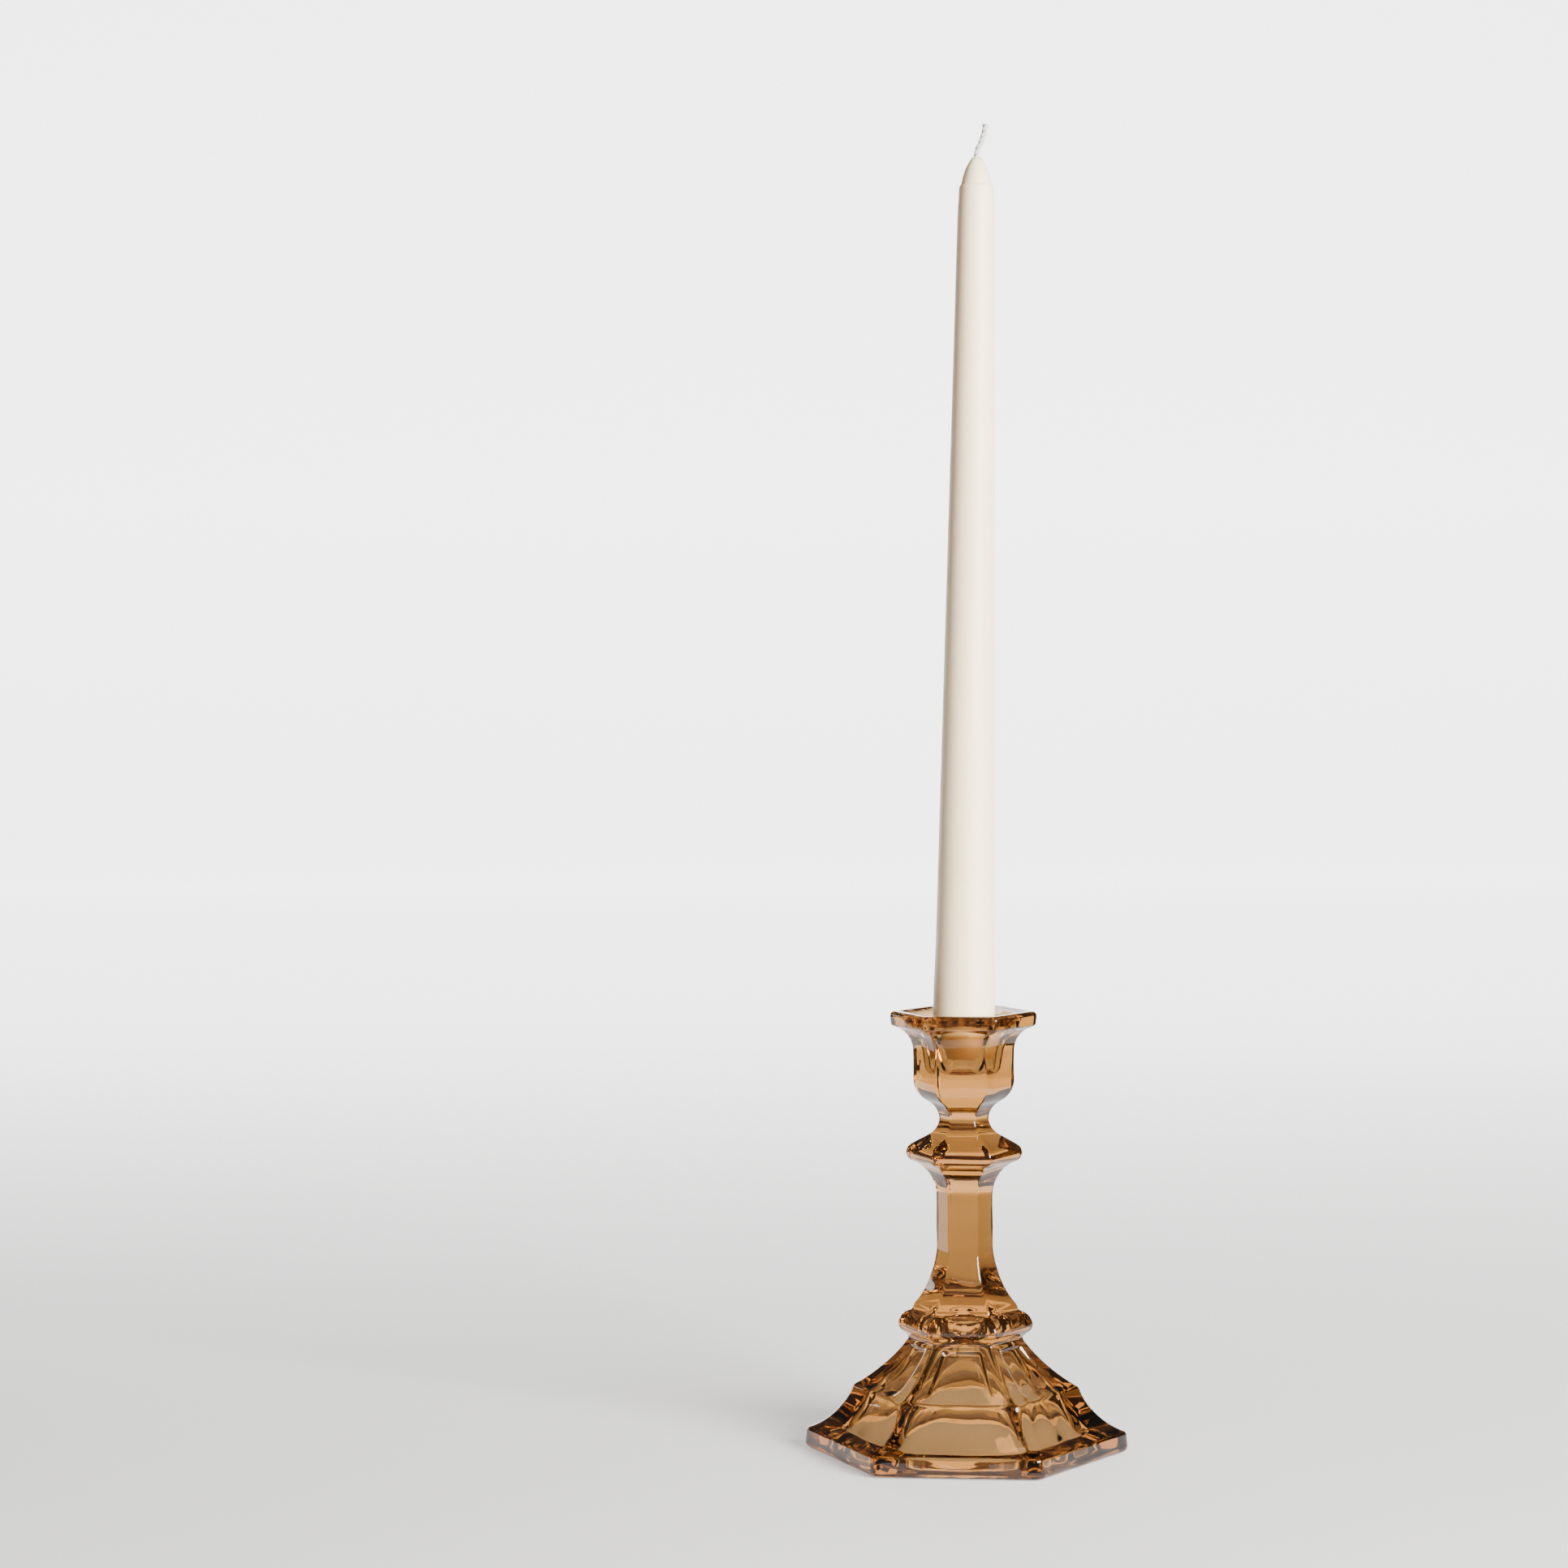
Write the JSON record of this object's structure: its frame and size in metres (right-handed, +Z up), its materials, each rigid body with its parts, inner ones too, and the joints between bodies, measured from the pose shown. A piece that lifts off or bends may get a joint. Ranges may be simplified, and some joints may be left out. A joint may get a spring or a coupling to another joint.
{
  "type": "glass candlestick",
  "caption": "Pressed amber glass candlestick with a hexagonal hollow foot, knopped stem and flared cup, holding an ivory taper candle with a cotton wick.",
  "frame": {"origin": "centre of the resting face under the foot, on the axis of the candlestick", "axes": "+Z up along the candlestick, +X towards one corner of the hexagon and the side the candle leans to, +Y towards a flat of the hexagon"},
  "size_m": [0.11, 0.0964, 0.4501],
  "materials": {
    "amber_glass": "fire-polished, clear amber",
    "ivory_wax": "smooth satin wax",
    "white_cotton": "braided cotton"
  },
  "bodies": {
    "candlestick": {"glass_candlestick": "amber_glass"},
    "candle": {"taper_candle": "ivory_wax", "candle_wick": "white_cotton"}
  },
  "joints": [
    {"name": "candle_lift", "type": "slide", "parent": "candlestick", "child": "candle", "axis": [0, 0, 1], "range_m": [0, 0.04]}
  ]
}
